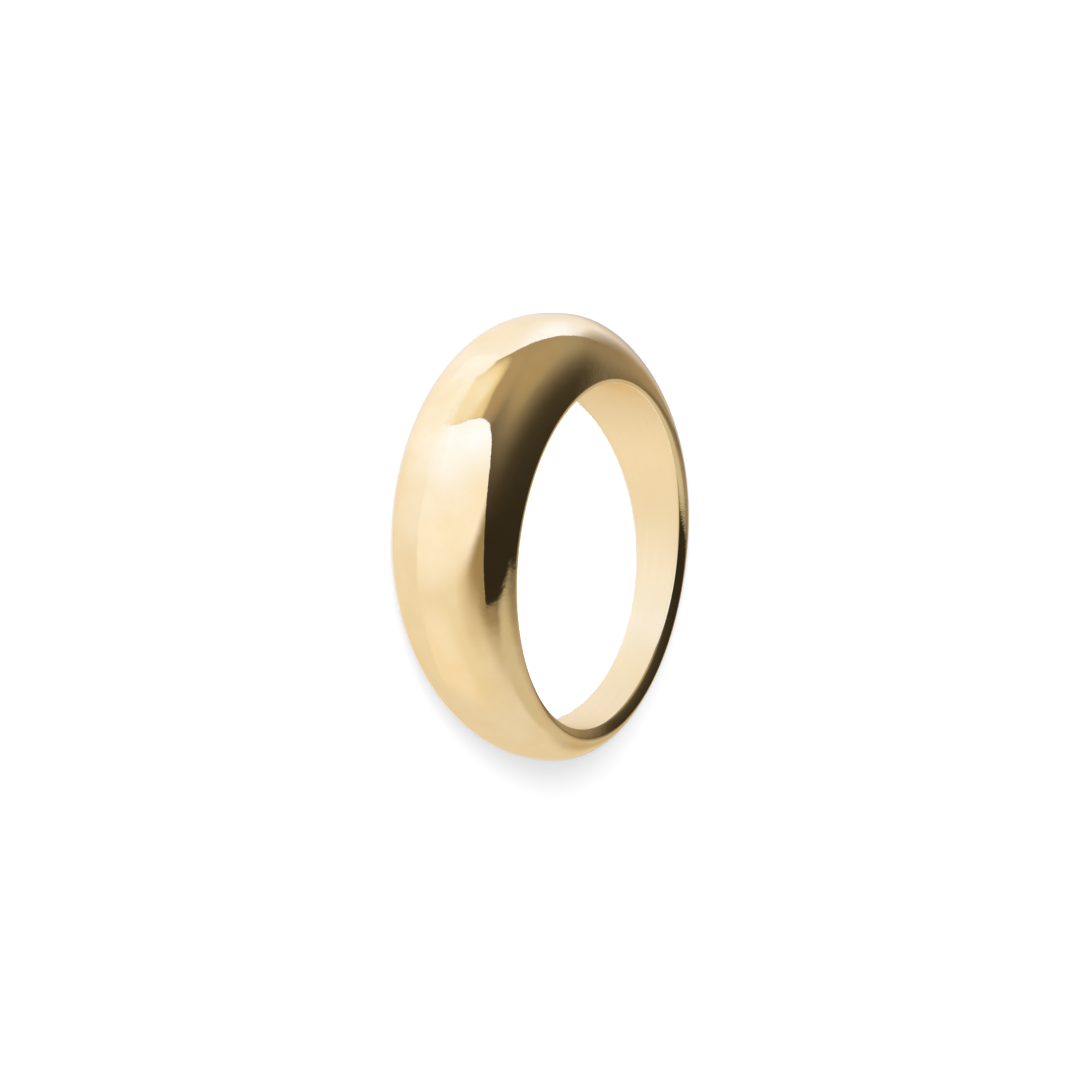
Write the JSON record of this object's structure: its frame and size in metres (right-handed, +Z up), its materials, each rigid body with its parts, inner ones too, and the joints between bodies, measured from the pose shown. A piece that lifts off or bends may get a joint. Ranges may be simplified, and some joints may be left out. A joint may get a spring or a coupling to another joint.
{
  "type": "dome ring",
  "caption": "Domed finger ring: a wide, thick, rounded crown that narrows to a slim flat-sided band at the back, with a plain round finger hole, lying on its side.",
  "frame": {"origin": "where the finger hole's axis meets the surface that the ring lies on", "axes": "+Z up from that surface, +X towards the middle of the dome; the finger hole's axis leans 6.3 degrees from +Z towards -X, because the band is wider at the dome than at the back"},
  "size_m": [0.0222, 0.0218, 0.0064],
  "materials": {
    "gold": "polished"
  },
  "bodies": {
    "root": {"ring": "gold"}
  },
  "joints": []
}
